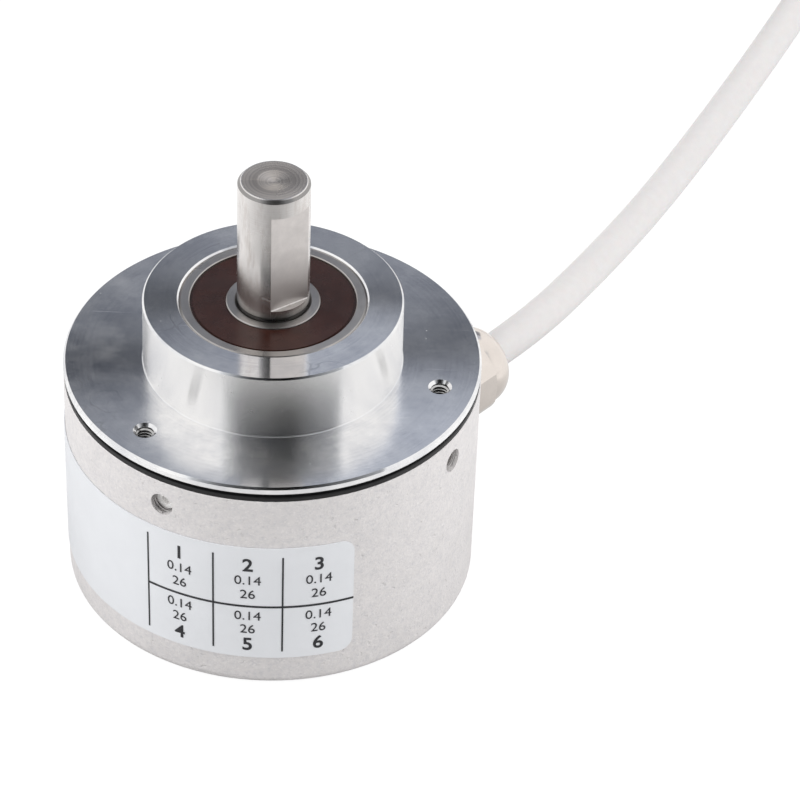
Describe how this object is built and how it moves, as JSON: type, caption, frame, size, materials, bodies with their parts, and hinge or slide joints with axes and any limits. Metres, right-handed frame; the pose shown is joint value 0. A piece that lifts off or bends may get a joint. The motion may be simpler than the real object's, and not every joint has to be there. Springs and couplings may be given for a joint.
{
  "type": "incremental rotary encoder",
  "caption": "Round shaft encoder with a turned clamping flange and spigot, a cast cover, a side cable gland and a coiled lead; its shaft turns without end in sealed ball bearings.",
  "frame": {"origin": "centre of the cover's rear face, on the shaft's axis, where the encoder stands", "axes": "+Z along the shaft, out of the flange; -Y faces the camera of the picture"},
  "size_m": [0.1297, 0.2719, 0.0655],
  "materials": {
    "turned_aluminium": "fine turned, bright",
    "cast_cover": "die cast, matt light grey",
    "black_rubber": "matt",
    "screw_steel": "zinc plated",
    "label_film": "printed film",
    "shaft_steel": "ground",
    "bearing_steel": "polished",
    "brown_seal": "smooth",
    "cage_plastic": "moulded",
    "spring_steel": "blued",
    "disc_aluminium": "turned",
    "disc_steel": "etched sheet",
    "moulded_black": "moulded",
    "lamp_clear": "clear",
    "board_green": "solder mask",
    "spacer_brass": "turned",
    "capacitor_can": "satin",
    "terminal_plastic": "moulded",
    "gland_nickel": "nickel plate on brass",
    "thrust_plastic": "moulded",
    "cable_jacket": "soft light grey",
    "core_insulation": "coloured insulation",
    "tinned_copper": "tinned strand",
    "tie_plastic": "white band"
  },
  "bodies": {
    "housing": {"flange": "turned_aluminium", "housing_cover": "cast_cover", "cover_seal": "black_rubber", "gland_seal": "black_rubber", "gland_washer": "black_rubber", "cover_screws": "screw_steel", "board_screws": "screw_steel", "led_screws": "screw_steel", "terminal_screws": "screw_steel", "label": "label_film", "front_bearing_outer_ring": "bearing_steel", "rear_bearing_outer_ring": "bearing_steel", "rear_bearing_front_shield": "bearing_steel", "rear_bearing_rear_shield": "bearing_steel", "front_bearing_front_seal": "brown_seal", "front_bearing_rear_seal": "brown_seal", "preload_spring": "spring_steel", "mask_plate": "disc_steel", "led_holder": "moulded_black", "sensor_chip": "moulded_black", "board_chips": "moulded_black", "led": "lamp_clear", "led_lens": "lamp_clear", "main_board": "board_green", "board_standoffs": "spacer_brass", "board_capacitors": "capacitor_can", "terminal_strip": "terminal_plastic", "gland_body": "gland_nickel", "gland_nut": "gland_nickel", "gland_thrust_ring": "thrust_plastic", "cable_entry": "cable_jacket", "cable": "cable_jacket", "cable_coil": "cable_jacket", "cable_tail": "cable_jacket", "core_wires": "core_insulation", "lead_wires": "core_insulation", "lead_tips": "tinned_copper", "coil_ties": "tie_plastic"},
    "rotor": {"shaft": "shaft_steel", "front_bearing_inner_ring": "bearing_steel", "rear_bearing_inner_ring": "bearing_steel", "retaining_ring": "spring_steel", "disc_hub": "disc_aluminium", "code_disc": "disc_steel", "disc_clamp": "disc_aluminium", "hub_screw": "screw_steel"},
    "front_cage": {"front_bearing_cage": "cage_plastic", "front_bearing_balls": "bearing_steel"},
    "rear_cage": {"rear_bearing_cage": "cage_plastic", "rear_bearing_balls": "bearing_steel"}
  },
  "joints": [
    {"name": "shaft_spin", "type": "hinge", "parent": "housing", "child": "rotor", "pos_m": [0, 0, 0.0455], "axis": [0, 0, 1], "continuous": true},
    {"name": "front_cage_spin", "type": "hinge", "parent": "housing", "child": "front_cage", "pos_m": [0, 0, 0.0413], "axis": [0, 0, 1], "continuous": true},
    {"name": "rear_cage_spin", "type": "hinge", "parent": "housing", "child": "rear_cage", "pos_m": [0, 0, 0.0289], "axis": [0, 0, 1], "continuous": true}
  ],
  "couplings": [
    {"joint": "front_cage_spin", "follows": "shaft_spin", "ratio": 0.3677},
    {"joint": "rear_cage_spin", "follows": "shaft_spin", "ratio": 0.3677}
  ]
}
